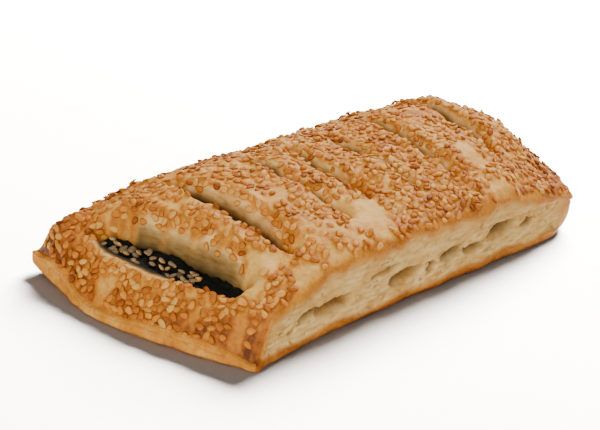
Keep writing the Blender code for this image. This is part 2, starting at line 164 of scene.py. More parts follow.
# What the baked surface adds to that form
SLIT_STEP = 0.42 * MM  # between the mesh's lines at the slits, and along the rest
ALONG_STEP = 0.6 * MM
ACROSS_STEP = 0.85 * MM
RIM_STEP = 0.5 * MM
SIDE_ROWS = 56  # of points up the sides
BASE_STRIDE = 6  # columns that one face of the base spans
FRONT_COVER = 0.4  # how much more of a slit's wall the crust covers towards its front tip
WIDE_COVER = 0.45  # and on the widest slit's far wall
HOLE_FLOOR = 11.5 * MM  # of the open slits, under the filling's top
POCKET_DEPTH = 4.6 * MM  # against 2.6 mm in the solids
PORE_DEPTH = 0.7 * MM
SHEET = 2.3 * MM  # thickness of one baked leaf of the dough at the cut sides
LEAF_RELIEF = 0.28 * MM  # height of the leaves' waves
BOTTOM_STRIP = 3.5 * MM  # height of the browned bottom sheet's edge
SWELL = 0.3 * MM  # how far the glaze climbs round a seed
SEED_GAP = 1.75 * MM  # between the middles of neighbouring seeds where they lie closest
RIM_TOAST = 0.42  # how much darker a seed is at its rim
TURN_SPREAD = 3.2  # how much farther in than its rim the crust follows where it turns in
RANDOM_SEED = 11
SEED_SIDES, SEED_RINGS = 8, 4
CRUST_TILT, FALLEN_TILT = 0.24, 0.35  # how unevenly seeds lie
STEEPEST = 0.12  # upward part of the normal where seeds still hold
OPEN_REACH = 1.6 * MM  # of the openings' edge up a slit's wall
STAIN_AND_SHADE_REACH = 3.4 * MM  # and of the painted shade at the foot of that wall, partly a stain of the filling
ON_RIM = 0.9999  # share of the way out from where a point is on the rim
Patch = namedtuple("Patch", "x y radius")
BARE_PATCHES = in_metres(
    Patch,
    (-15, -27, 7.5),
    (-17, -36, 3.5),
    (-58, -26, 4.5),
    (-65, -29, 3.5),
    (-89, 9, 3.5),
    (42, -38, 5),
    (45, -24, 3.5),
    (44, -18, 4),
    (-50, -38, 5),
    (-37, -38, 3.5),
    (-81, 18, 3.5),
    (-79, 10, 3.5),
    (-77, 2, 3),
)


def to_linear(hex_colour):
    """An sRGB hex colour as linear red, green and blue."""
    channels = [int(hex_colour[i : i + 2], 16) / 255 for i in (1, 3, 5)]
    return [c / 12.92 if c <= 0.04045 else ((c + 0.055) / 1.055) ** 2.4 for c in channels]


def colour_property(name, description, hex_colour):
    return FloatVectorProperty(
        name=name,
        description=description,
        subtype="COLOR",
        size=3,
        min=0,
        max=1,
        default=to_linear(hex_colour),
    )


# ------------ the form


def ease(value):
    """0 below 0, 1 above 1, and smooth between."""
    value = np.clip(value, 0.0, 1.0)
    return value * value * (3 - 2 * value)


def rows(*columns):
    """Columns of numbers, some of them single values, as rows of points."""
    return np.column_stack(np.broadcast_arrays(*columns))


def wobble(points, scale, key):
    """Smooth noise from about -1 to 1, one value for each row of points."""
    shift = np.array((17.3 * key, -9.1 * key, 5.7 * key))
    return 2 * np.array([noise.noise(p) for p in (points / scale + shift).tolist()])


def near_edge(v):
    return -LENGTH / 2 + NEAR_END.slant * v + NEAR_END.bow * v * v


def far_edge(v):
    return LENGTH / 2 + FAR_END.slant * v + FAR_END.bow * v * v


def slit_line(slit, v):
    return slit.place + slit.slant * v


def rounded(u, v):
    """A point of the unit square with the corners of the outline drawn in round."""
    radius = np.where(u < 0, NEAR_ROUND, FAR_ROUND)
    p = np.clip((np.abs(u) - 1) * LENGTH / 2 / radius + 1, 0, 1)
    q = np.clip((np.abs(v) - 1) * WIDTH / 2 / radius + 1, 0, 1)
    pull_u = p * (1 - np.sqrt(1 - q * q / 2)) * radius / (LENGTH / 2)
    pull_v = q * (1 - np.sqrt(1 - p * p / 2)) * radius / (WIDTH / 2)
    return u - np.sign(u) * pull_u, v - np.sign(v) * pull_v


def footprint(u, v):
    """Plan place of a point of the unit square, its lines across the width fanned as the slits."""
    u, v = rounded(u, v)
    corner = np.where(u < 0, NEAR_FLARE, 0)
    along = u * (1 + 0.5 * corner * np.abs(v * u) ** 9)
    across = v * (1 + corner * np.abs(u) ** 9)
    anchors = [-1] + [slit.place / (LENGTH / 2) for slit in SLITS] + [1]
    slants = [NEAR_END.slant] + [slit.slant for slit in SLITS] + [FAR_END.slant]
    bows = [NEAR_END.bow] + [0] * len(SLITS) + [FAR_END.bow]
    x = along * LENGTH / 2
    x = x + np.interp(u, anchors, slants) * across + np.interp(u, anchors, bows) * across**2
    y = across * WIDTH / 2
    flat = rows(x, y, 0)
    rim = np.maximum(np.abs(u), np.abs(v)) ** 6
    y = y + EDGE_WAVE * rim * wobble(flat, WAVE_SIZE, 1)
    x = x + EDGE_WAVE * rim * wobble(flat, WAVE_SIZE, 2)
    return x, y


def end_rise(distance, rim, top, reach, power):
    """Height along the middle line at a distance from an end: rim there, top far from it."""
    return rim + (top - rim) * (1 - np.exp(-((distance / reach) ** power)))


def slit_lines(x, y):
    """Yields each slit with its depth there, the distance across it and past its floor, the share
    along it, and how far that is from its tips."""
    v = y / (WIDTH / 2)
    for slit in SLITS:
        middle = (slit.front + slit.back) / 2
        along = (y - middle) / ((slit.back - slit.front) / 2)
        depth = slit.depth * (1 - slit.bridge * np.exp(-((along / BRIDGE) ** 2)))
        across = x - slit_line(slit, v)
        fade = np.clip(1 - along**2, 0, 1)
        beyond = np.maximum(np.abs(across) - slit.gape / 2 * np.sqrt(fade), 0)
        yield slit, depth, across, beyond, along, fade


def slit_shape(x, y):
    """How far the slits lie below the dome, and how far in from the top of a wall a place is."""
    deepest = np.zeros_like(x)
    inside = np.zeros_like(x)
    for slit, depth, across, beyond, along, fade in slit_lines(x, y):
        within = np.clip(1 - beyond / np.where(across > 0, slit.wall, slit.lip), 0, 1)
        deepest = np.maximum(deepest, depth * fade**0.5 * within**WALL_POWER)
        within = within * np.minimum(1, 1.6 * fade) * np.minimum(1, depth / (6 * MM))
        covered = FRONT_COVER * ease((0.4 - along) / 1.4)
        if slit.lip > slit.wall:
            covered = np.where(across > 0, WIDE_COVER, 0.9 * ease((0.1 - along) / 0.6) - 0.3)
        inside = np.maximum(inside, within * (1 - covered))
    return deepest, inside


def open_share(x, y, reach=OPEN_REACH):
    """1 inside the openings that reach the filling, 0 outside, and between on their walls."""
    inside = np.zeros_like(x)
    for _, _, _, beyond, _, fade in list(slit_lines(x, y))[:OPEN_SLITS]:
        inside = np.maximum(inside, ease(1 - beyond / reach) * ease(fade / 0.3))
    return inside


def edge_distances(x, y):
    """Distance of a plan position from the near end, the far end and the nearer long side."""
    v = np.clip(y / (WIDTH / 2), -1, 1)
    return x - near_edge(v), far_edge(v) - x, WIDTH / 2 - np.abs(y)


def dome_height(x, y):
    """Height of the top at a plan position, without the slits."""
    v = np.clip(y / (WIDTH / 2), -1, 1)
    from_near, from_far, from_side = (np.maximum(d, 0) for d in edge_distances(x, y))
    crest = CREST + (FAR_CREST - CREST) * ease(x / (LENGTH / 2))
    near_rim = NEAR_RIM + (NEAR_RIM_BACK - NEAR_RIM) * ease(v) ** 2
    middle = np.minimum(
        end_rise(from_near, near_rim, crest, NEAR_REACH, NEAR_POWER),
        end_rise(from_far, FAR_RIM, crest, FAR_REACH, FAR_POWER),
    )
    side = near_rim + (CORNER_RIM - near_rim) * ease(from_near / CORNER_REACH)
    rise = SIDE_RISE - SIDE_TILT * v
    side = side + rise * ease(from_near / SIDE_REACH) * ease(from_far / SIDE_REACH)
    start, end = FLAT_CORNER
    far = ease((x - start) / (end - start)) * (v < 0)
    reach = np.where(v < 0, FRONT_SHOULDER + (FAR_SHOULDER - FRONT_SHOULDER) * far, BACK_SHOULDER)
    shoulder = np.sin(math.pi / 2 * np.clip(from_side / reach, 0, 1)) ** (1 + FAR_STEEPER * far)
    height = side + (middle - side) * shoulder
    edge = np.minimum(np.minimum(from_near, from_far), from_side)
    height = height - RIM_DROP * np.clip(1 - edge / RIM_ROUND, 0, 1) ** 2
    return height - CORNER_DROP * np.exp(-(((from_far + from_side) / CORNER_SPREAD) ** 2))


def rim_turn(u, level):
    """How far the rim turns in under the crust, at the foot and at the rounded far end."""
    foot = FOOT_TURN * np.clip(1 - level / 0.12, 0, 1)
    lip = LIP_TURN * np.clip((level - LIP_START) / (1 - LIP_START), 0, 1) ** 2
    far = ease((u - 0.85) / 0.15)
    rounding = np.clip(1 - level / 0.5, 0, 1) ** 2 + np.clip(level / 0.4 - 1.5, 0, 1) ** 2
    return foot + lip + FAR_TUCK * far * rounding


def crust_height(x, y):
    """Height of the crust at a plan position, with its blisters, and without the seeds."""
    edge = np.minimum.reduce(edge_distances(x, y))
    flat = rows(x, y, 0)
    dome = dome_height(x, y) + BUMP * wobble(flat, BUMP_SIZE, 3) * ease(edge / BUMP_MARGIN)
    drop, inside = slit_shape(x, y)
    drop = np.minimum(drop, np.maximum(dome - SLIT_FLOOR, 0))
    blisters = 0.42 * MM * wobble(flat, 6.5 * MM, 6) + 0.2 * MM * wobble(flat, 2.6 * MM, 7)
    height = dome - drop + blisters * (1 - 0.75 * inside) * ease(edge / (3 * MM))
    hole = open_share(x, y)
    return height + (np.minimum(height, HOLE_FLOOR) - height) * hole


def base_height(u, v):
    """The base lies flat but for the near end's back corner, which curls up."""
    return CORNER_CURL * np.clip((-u + v - 1.6) / 0.4, 0, 1) ** 2


def pocket_hollows(x, z, side):
    """Depth of the air pockets of a cut side, as a share of the deepest, at places along it."""
    hollow = np.zeros_like(x)
    drift = rows(x, side, z)
    warp_x = 1.2 * MM * wobble(drift, 8 * MM, 21)
    warp_z = 0.4 * MM * wobble(drift, 7 * MM, 22)
    for pocket in POCKETS:
        along = (x + warp_x - SHIFT[0] + side * pocket.along) / (0.6 * pocket.length)
        up = (z + warp_z - pocket.up) / (0.66 * pocket.height)
        far = np.abs(along) ** 2.0 + np.abs(up) ** 2.2
        inner = np.clip(1 - far, 0, 1)
        scoop = 0.25 + 0.75 * ease(0.55 + 0.55 * up)
        hollow = np.maximum(hollow, inner**0.6 * scoop * min(1, pocket.height / (2.6 * MM)))
    return hollow


def pores(x, z, side):
    """Depth of the small gaps between the leaves, as a share of the deepest."""
    spots = wobble(rows(x / 2.6, side, z), 0.95 * MM, 23)
    where = wobble(rows(x, side, z * 1.6), 14 * MM, 24)
    return ease((spots - 0.95 + 0.4 * where) / 0.3)


def leaves(x, z, side):
    """Relief of the soft leaves of the dough, wavy and uneven, from about -1 to 1."""
    bend = wobble(rows(x / 2.4, side, z), 9 * MM, 25)
    place = z / SHEET + 1.1 * bend
    ripple = np.sin(2 * math.pi * place)
    lumps = wobble(rows(x / 2.5, side, z), 2.6 * MM, 26)
    return 0.5 * ripple * (0.6 + 0.5 * bend) + 0.5 * lumps


def cut_side(x, z, level, side):
    """Relief outwards of a long side, with how hollow and how brown it is there."""
    hollow = pocket_hollows(x, z, side)
    pore = pores(x, z, side) * (1 - ease(hollow * 3))
    webs = ease((wobble(rows(x, side, z * 0.25), 0.9 * MM, 28) + 0.1) / 0.5)
    strip_top = BOTTOM_STRIP + 1.1 * MM * wobble(rows(x, side, 0), 15 * MM, 29)
    strip = 1 - ease((z - strip_top) / (1.1 * MM) + 0.5)
    uneven = wobble(rows(x, side, 0), 7 * MM, 34)
    crust_edge = ease((level - 0.78 - 0.06 * uneven) / 0.18)
    plain = (1 - strip) * (1 - crust_edge)
    relief = LEAF_RELIEF * leaves(x, z, side) * (0.4 + 0.6 * plain) * (1 - ease(3 * hollow))
    relief += 0.7 * MM * strip - 0.45 * MM * plain + 0.1 * MM * crust_edge
    relief -= PORE_DEPTH * pore * plain
    relief -= POCKET_DEPTH * hollow * (1 - 0.06 * webs) * plain
    return relief, np.maximum(hollow**0.7, 0.5 * pore) * plain, strip, crust_edge


def end_wall(x, y, level):
    """Relief outwards of a pressed end: thin sheets, whose meeting lines are shallow grooves."""
    seam = np.exp(-(((level - 0.5) / 0.16) ** 2)) + 0.5 * np.exp(-(((level - 0.78) / 0.07) ** 2))
    ragged = wobble(rows(x * 0, y, level * 12 * MM), 4.5 * MM, 31)
    inner = ease((WIDTH / 2 - np.abs(y)) / (4 * MM))
    bend = wobble(rows(x * 0, y / 1.6, level * 9 * MM), 11 * MM, 35)
    sheets = np.sin(2 * math.pi * (7.5 * level + 1.3 * bend)) * (x > 0)
    relief = 0.3 * MM * ragged + 0.22 * MM * sheets
    return (relief * ease(level / 0.1) * ease((1 - level) / 0.06) - SEAM * seam) * inner


Surface = namedtuple("Surface", "points crumb brown hollow shade")


def bare_share(x, y):
    """How bare of seeds the crust is at plan positions, 1 in the middle of a bare patch."""
    bare = np.zeros_like(x)
    ragged = wobble(rows(x, y, 0), 4 * MM, 53)
    for patch in BARE_PATCHES:
        far = np.hypot(x - patch.x, y - patch.y) / patch.radius
        bare = np.maximum(bare, ease((1.25 - far + 0.3 * ragged) / 0.3))
    return bare


def crust_browning(x, y):
    """How brown the crust baked: golden towards the rims, pale in the middle and where bare."""
    from_near, from_far, from_side = (np.maximum(d, 0) for d in edge_distances(x, y))
    edge = np.minimum(np.minimum(from_near, from_far), from_side)
    corner = np.exp(-np.hypot(from_near, from_side) / (8 * MM))
    slope = np.exp(-from_near / (14 * MM))
    brown = 0.14 + 0.34 * np.exp(-edge / (4.5 * MM)) + 0.2 * corner + 0.08 * slope
    return brown - 0.12 * bare_share(x, y)


def around_seeds(x, y, spots):
    """1 at and close round a seed, fading to 0 past the width of the glaze round it."""
    tree = KDTree(len(spots))
    for number, spot in enumerate(spots.tolist()):
        tree.insert((spot[0], spot[1], 0), number)
    tree.balance()
    far = np.array([tree.find((a, b, 0))[2] for a, b in zip(x.tolist(), y.tolist())])
    return 1 - ease((far - 0.9 * MM) / (1.3 * MM))


def outward_share(u, v):
    """Outward directions in plan, of length 1 at the rims and fading over what turns in there."""
    reach = TURN_SPREAD * rim_turn(u, np.ones_like(u))
    end = np.clip(1 - (1 - np.abs(u)) * LENGTH / 2 / reach, 0, 1) ** 2
    side = np.clip(1 - (1 - np.abs(v)) * WIDTH / 2 / reach, 0, 1) ** 2
    outward = rows(np.sign(u) * end, np.sign(v) * side)
    return outward / np.maximum(np.linalg.norm(outward, axis=1, keepdims=True), 1)


def pastry_surface(u, v, level, spots):
    """Places of the pastry's surface, with how much it shows the inner dough, browning, gaps and
    the painted shade down the slits' walls.
    """
    x, y = footprint(u, v)
    low = base_height(u, v)
    outward = outward_share(u, v)
    lip = rim_turn(u, np.ones_like(u))
    height = crust_height(x - lip * outward[:, 0], y - lip * outward[:, 1])
    at_end, at_side = np.abs(u) > ON_RIM, np.abs(v) > ON_RIM
    on_top = level > ON_RIM
    glazed = np.where(on_top, around_seeds(x, y, spots), 0)
    z = low + level * (height - low) + SWELL * glazed * ~(at_end | at_side)
    relief, hollow, strip, crust_edge = cut_side(x, z, level, np.sign(v))
    from_near, from_far = (1 + u) * LENGTH / 2, (1 - u) * LENGTH / 2
    side_fade = ease((from_near - 2 * MM - 0.6 * (height - z)) / (6 * MM))
    side_fade = side_fade * ease((from_far - 6 * MM) / (7 * MM)) * ease(level / 0.05)
    offset = np.where(at_end, end_wall(x, y, level), relief * side_fade) - rim_turn(u, level)
    points = rows(x + outward[:, 0] * offset, y + outward[:, 1] * offset, z)
    rim = (at_end | at_side).astype(float)

    on_side = at_side & ~at_end & ~on_top
    _, inside = slit_shape(x, y)
    ragged = 0.1 * wobble(rows(x, y, 0), 4 * MM, 32)
    cut = ease((inside - 0.24 + ragged) / 0.2)
    crumb = np.where(on_side, (1 - strip) * (1 - crust_edge) * side_fade, cut * (1 - rim))
    # painted shade: the slits' walls darken towards their foot, most where they open to the
    # filling, which also stains them a little there
    shade = 0.82 * ease((inside - 0.3) / 0.5) * cut + 0.66 * open_share(x, y, STAIN_AND_SHADE_REACH)
    shade = np.where(on_top, np.minimum(shade, 1), 0)
    brown = crust_browning(x, y) + 0.36 * glazed
    foot = ease(1 - level / 0.12)
    wrapped = 0.3 + 0.24 * strip + 0.6 * strip * foot + 0.18 * crust_edge
    brown = np.where(on_side, wrapped, brown)
    brown = np.where(on_side, brown + 0.12 * (1 - side_fade), brown)
    pressed = 0.34 + 0.3 * ease(1 - level / 0.3) + 0.2 * (u > 0) * ease((level - 0.3) / 0.5)
    brown = np.where(at_end & ~on_top, pressed, brown)
    brown = np.where(level < 0.0001, 0.8, brown)
    golden = ease((wobble(rows(x, y, z * 2), 9 * MM, 33) - 0.1) / 0.5)
    golden = golden + 0.8 * ease((level - 0.72) / 0.25)
    crumb = np.where(on_side, crumb * (1 - 0.4 * np.clip(golden, 0, 1) * (1 - hollow)), crumb)
    return Surface(points + SHIFT, crumb, brown, hollow * on_side, shade)


# ------------ building blocks


def stations(start, end, step_at):
    """Places from start to end whose spacing follows step_at(place)."""
    places = [start]
    while places[-1] < end:
        places.append(places[-1] + step_at(places[-1]))
    places = np.array(places)
    return start + (places - start) * (end - start) / (places[-1] - start)


def add_mesh(name, points, faces, values=None):
    """A smooth-shaded object of points and faces, with a number for each point per name."""
    mesh = bpy.data.meshes.new(name)
    mesh.from_pydata(points.tolist(), [], faces)
    for key, numbers in (values or {}).items():
        layer = mesh.attributes.new(key, "FLOAT", "POINT")
        layer.data.foreach_set("value", np.ascontiguousarray(numbers, np.float32))
    mesh.shade_smooth()
    mesh.validate()
    made = bpy.data.objects.new(name, mesh)
    bpy.context.scene.collection.objects.link(made)
    return made


def sharpen_edges(mesh, among):
    """Makes the edges between the points that are among those shade as sharp."""
    ends = np.empty(2 * len(mesh.edges), np.int32)
    mesh.edges.foreach_get("vertices", ends)
    sharp = mesh.attributes.new("sharp_edge", "BOOLEAN", "EDGE")
    sharp.data.foreach_set("value", among[ends.reshape(-1, 2)].all(axis=1))


def dress(piece, finish, slot, *nodes):
    """Gives a piece its material and its place among the solids."""
    piece.data.materials.append(finish)
    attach(piece, BODY)
    if nodes:
        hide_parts(*nodes)


def cell_faces(first, second):
    """Index pairs of the corners of each cell of a grid, going round."""
    for i in range(first - 1):
        for j in range(second - 1):
            yield (i, j), (i + 1, j), (i + 1, j + 1), (i, j + 1)


def sheet_faces(fixed, first, second, flip):
    """Faces of one side of the unit box, each corner as its (u, v, level) numbers.

    fixed is the axis that is held and its index, and first and second count the other two.
    """
    axis, held = fixed
    for corners in cell_faces(first, second):
        face = []
        for i, j in corners:
            place = [i, j]
            place.insert(axis, held)
            face.append(tuple(place))
        yield face[::-1] if flip else face


def base_faces(u_count, v_count):
    """Coarse faces under the pastry whose outer edges keep every point of the rim."""
    u_lines = [*range(0, u_count - BASE_STRIDE, BASE_STRIDE), u_count - 1]
    v_lines = [*range(0, v_count - BASE_STRIDE, BASE_STRIDE), v_count - 1]
    for u0, u1 in zip(u_lines, u_lines[1:]):
        for v0, v1 in zip(v_lines, v_lines[1:]):
            near = range(v0, v1) if u0 == 0 else (v0,)
            back = range(u0, u1) if v1 == v_count - 1 else (u0,)
            far = range(v1, v0, -1) if u1 == u_count - 1 else (v1,)
            front = range(u1, u0, -1) if v0 == 0 else (u1,)
            face = [(u0, v, 0) for v in near] + [(u, v1, 0) for u in back]
            yield face + [(u1, v, 0) for v in far] + [(u, v0, 0) for u in front]


def box_mesh(nu, nv, nl):
    """Faces of a closed box of nu by nv by nl lines, and each point's (u, v, level) numbers."""
    corners = list(sheet_faces((2, nl - 1), nu, nv, False))
    corners += sheet_faces((1, 0), nu, nl, False)
    corners += sheet_faces((1, nv - 1), nu, nl, True)
    corners += sheet_faces((0, 0), nv, nl, True)
    corners += sheet_faces((0, nu - 1), nv, nl, False)
    corners += base_faces(nu, nv)
    index = {}
    faces = [[index.setdefault(key, len(index)) for key in face] for face in corners]
    return faces, np.array(list(index))


# ------------ the pastry


def along_lines():
    """Where the pastry's mesh is cut along its length: close at the slits."""
    spans = [
        (slit.place - slit.gape / 2 - slit.lip, slit.place + slit.gape / 2 + slit.wall)
        for slit in SLITS
    ]

    def step_at(place):
        return SLIT_STEP if any(a <= place <= b for a, b in spans) else ALONG_STEP

    return stations(-LENGTH / 2, LENGTH / 2, step_at) / (LENGTH / 2)


def across_lines():
    """Where it is cut across its width: close at both rims."""

    def step_at(place):
        return RIM_STEP if WIDTH / 2 - abs(place) < RIM_ROUND else ACROSS_STEP

    return stations(-WIDTH / 2, WIDTH / 2, step_at) / (WIDTH / 2)


def make_pastry(sesame, colours):
    u_lines, v_lines, levels = along_lines(), across_lines(), np.linspace(0, 1, SIDE_ROWS)
    spots, _ = sown_seeds(sesame)
    faces, keys = box_mesh(len(u_lines), len(v_lines), len(levels))
    place = u_lines[keys[:, 0]], v_lines[keys[:, 1]], levels[keys[:, 2]]
    surface = pastry_surface(*place, spots)
    values = {name: getattr(surface, name) for name in Surface._fields[1:]}
    pastry = add_mesh("pastry_crust", surface.points, faces, values)
    sharpen_edges(pastry.data, keys[:, 2] == 0)
    dress(pastry, puff_pastry_baked(colours), "baked_pastry", "pastry")
    return pastry


# ------------ the filling


def filling_height(x, y):
    """Height of the filling's top, crumpled as cooked leaves."""
    flat = rows(x, y, 0)
    lumps = 2 * LUMP * np.array([noise.noise(p) for p in (flat / (11 * MM)).tolist()])
    folds = 1 - 2 * np.abs(wobble(flat, 4.2 * MM, 41))
    crumple = 0.55 * MM * folds + 0.3 * MM * wobble(flat, 1.7 * MM, 42)
    return FILLING_TOP + lumps + crumple * open_share(x, y) - 0.6 * MM * (1 - open_share(x, y))


def make_filling(colours):
    u_lines = stations(-1, 1, lambda place: 0.7 * MM / (FILLING_LENGTH / 2))
    v_lines = stations(-1, 1, lambda place: 0.7 * MM / (FILLING_WIDTH / 2))
    faces, keys = box_mesh(len(u_lines), len(v_lines), 2)
    u, v, upper = u_lines[keys[:, 0]], v_lines[keys[:, 1]], keys[:, 2]
    inward = 1 - 0.14 * np.abs(u * v) ** 5
    x, y = FILLING_LENGTH / 2 * u * inward, FILLING_WIDTH / 2 * v * inward
    x = x + (near_edge(y / (WIDTH / 2)) + LENGTH / 2) * np.maximum(0, -u)
    middle = (FILLING_TOP + FILLING_BASE) / 2
    edge = np.maximum(np.abs(u), np.abs(v))
    round_edge = 1 - 0.35 * ease((edge - 0.96) / 0.04)
    top = middle + (filling_height(x, y) - middle) * round_edge
    low = middle - (middle - FILLING_BASE) * round_edge
    points = rows(x, y, np.where(upper > 0, top, low)) + SHIFT
    filling = add_mesh("spinach_filling", points, faces)
    dress(filling, spinach_cooked(colours), "spinach", "filling")
    return filling


# ------------ the sesame


def seed_shape(length, width, thickness):
    """Points and faces of one sesame seed, a flattened drop along X, and how much is its rim."""
    sides, rings = SEED_SIDES, SEED_RINGS
    points, faces = [(-0.5 * length, 0, 0)], []
    for ring in range(rings):
        turn = math.pi * (ring + 1) / (rings + 1)
        along = -math.cos(turn)
        radius = math.sin(turn) ** 0.8 * (1 - 0.28 * along)
        for side in range(sides):
            angle = 2 * math.pi * side / sides
            y = 0.5 * width * radius * math.cos(angle)
            z = 0.5 * thickness * radius * math.sin(angle)
            points.append((0.5 * length * along, y, z))
    points.append((0.5 * length, 0, 0))
    last = len(points) - 1
    for side in range(sides):
        after = (side + 1) % sides
        faces.append((0, 1 + after, 1 + side))
        for ring in range(rings - 1):
            a, b = 1 + ring * sides, 1 + (ring + 1) * sides
            faces.append((a + side, a + after, b + after, b + side))
        end = 1 + (rings - 1) * sides
        faces.append((end + side, end + after, last))
    points = np.array(points)
    rim = 1 - ease(points[:, 2] / (0.36 * thickness))
    return points, faces, rim


def crust_normal(x, y):
    """Upward unit normals of the crust at plan positions."""
    step = 0.5 * MM
    slope_x = (crust_height(x + step, y) - crust_height(x - step, y)) / (2 * step)
    slope_y = (crust_height(x, y + step) - crust_height(x, y - step)) / (2 * step)
    normals = rows(-slope_x, -slope_y, 1)
    return normals / np.linalg.norm(normals, axis=1, keepdims=True)


def seed_cover(x, y):
    """How closely the crust is sown at plan positions, 0 bare to 1 full."""
    flat = rows(x, y, 0)
    patches = 0.55 * wobble(flat, 10 * MM, 51) + 0.4 * wobble(flat, 4.5 * MM, 52)
    cover = 0.52 + 0.36 * ease((x + 35 * MM) / (50 * MM)) + 0.8 * patches
    cover = cover + 0.12 * np.exp(-np.maximum(edge_distances(x, y)[0], 0) / (20 * MM))
    _, inside = slit_shape(x, y)
    return np.clip(cover, 0, 1) * (1 - ease((inside - 0.3) / 0.15)) * (1 - bare_share(x, y))


def scatter(count, draw):
    """Plan positions all over the crust with their cover, close together where it is full."""
    x = draw.uniform(-LENGTH / 2 - 12 * MM, LENGTH / 2, count)
    y = draw.uniform(-WIDTH / 2, WIDTH / 2, count)
    near = slice(0, count // 4)  # more tries where the near end slopes down
    x[near] = near_edge(y[near] / (WIDTH / 2)) + draw.uniform(0, 16 * MM, count // 4)
    edge = np.minimum.reduce(edge_distances(x, y))
    cover = seed_cover(x, y)
    kept = (edge > 1.6 * MM) & (draw.uniform(0, 0.5, count) < cover)
    spots = rows(x, y, crust_height(x, y))[kept]
    gaps = SEED_GAP * (1 + 0.75 * (1 - cover[kept]) ** 2)
    cells, chosen = {}, []
    for number, (place, gap) in enumerate(zip(spots.tolist(), gaps.tolist())):
        cell = (int(place[0] // (2 * SEED_GAP)), int(place[1] // (2 * SEED_GAP)))
        near = [
            other
            for i in (-1, 0, 1)
            for j in (-1, 0, 1)
            for other in cells.get((cell[0] + i, cell[1] + j), ())
        ]
        if all(math.dist(place, other) > gap for other in near):
            cells.setdefault(cell, []).append(place)
            chosen.append(number)
    return spots[chosen]


def sown_seeds(sesame):
    """Spots of the crust where seeds lie, with the normals there."""
    spots = scatter(sesame.tries, np.random.default_rng(RANDOM_SEED))
    normals = crust_normal(spots[:, 0], spots[:, 1])
    gentle = normals[:, 2] > STEEPEST
    return spots[gentle], normals[gentle]


def laid_seeds(spots, normals, shape, draw, tilt):
    """Points of many seeds lying on their spots, each turned and tilted by chance."""
    count = len(spots)
    turn = draw.uniform(0, 2 * math.pi, count)
    tilts = draw.normal(0, tilt, (count, 2))
    sizes = draw.uniform(0.8, 1.12, (count, 3))
    aside = np.column_stack([np.cos(turn), np.sin(turn), np.zeros(count)])
    aside -= (aside * normals).sum(1)[:, None] * normals
    aside /= np.linalg.norm(aside, axis=1)[:, None]
    other = np.cross(normals, aside)
    lengthwise = aside + tilts[:, :1] * normals
    lengthwise /= np.linalg.norm(lengthwise, axis=1)[:, None]
    crosswise = other + tilts[:, 1:] * normals
    crosswise -= (crosswise * lengthwise).sum(1)[:, None] * lengthwise
    crosswise /= np.linalg.norm(crosswise, axis=1)[:, None]
    upward = np.cross(lengthwise, crosswise)
    axes = np.stack([lengthwise, crosswise, upward], axis=1) * sizes[:, :, None]
    return (np.einsum("pk,ska->spa", shape, axes) + spots[:, None, :]).reshape(-1, 3)


def repeat_faces(faces, size, count):
    """The faces of one shape of a number of points, for as many copies of it."""
    return [[corner + size * copy for corner in face] for copy in range(count) for face in faces]


def add_seeds(name, points, toast, shape, rim_toast):
    """One mesh of many seeds, each darker round its rim than on top."""
    outline, faces, rim = shape
    count, size = len(toast), len(outline)
    shade = (np.repeat(toast, size).reshape(count, size) + rim_toast * rim).reshape(-1)
    return add_mesh(name, points, repeat_faces(faces, size, count), {"toast": shade})


def make_sesame(sesame, colours):
    draw = np.random.default_rng(RANDOM_SEED + 2)
    shape = seed_shape(sesame.length, sesame.width, sesame.thickness)
    spots, normals = sown_seeds(sesame)
    spots = spots + draw.uniform(0.05, 0.35, len(spots))[:, None] * MM * normals
    dense = ease((spots[:, 0] + 20 * MM) / (40 * MM))
    _, inside = slit_shape(spots[:, 0], spots[:, 1])
    chance = (0.05 + 0.08 * dense) * (inside < 0.01)
    upper = (draw.uniform(0, 1, len(spots)) < chance).nonzero()[0]
    lift = draw.uniform(0.4, 0.6, len(upper))[:, None] * MM
    aside = rows(*draw.normal(0, 0.5 * MM, (2, len(upper))), 0)
    above = spots[upper] + lift * normals[upper] + aside
    spots, normals = np.vstack([spots, above]), np.vstack([normals, normals[upper]])
    low, high = (np.array([*corner]) - SHIFT for corner in CAD_BOX)
    held = ((spots > low + 1.2 * MM) & (spots < high - (1.2 * MM, 1.2 * MM, 0))).all(axis=1)
    held |= (spots[:, 2] < 10 * MM) & (spots[:, 0] < 0)
    spots, normals = spots[held], normals[held]
    near = np.exp(-np.maximum(edge_distances(spots[:, 0], spots[:, 1])[0], 0) / (16 * MM))
    edge = np.minimum.reduce(edge_distances(spots[:, 0], spots[:, 1]))
    toast = 0.3 + 0.2 * wobble(spots, 12 * MM, 61) + draw.normal(0, 0.24, len(spots))
    toast = toast + 0.16 * np.exp(-np.maximum(edge, 0) / (5 * MM)) + 0.06 * near
    toast = np.where(draw.uniform(0, 1, len(spots)) < 0.003, 1.5, np.clip(toast, 0, 1))
    points = laid_seeds(spots + SHIFT, normals, shape[0], draw, CRUST_TILT)
    seeds = add_seeds("sesame_on_crust", points, toast, shape, RIM_TOAST)
    dress(seeds, sesame_toasted(colours), "baked_pastry", "pastry")
    return seeds


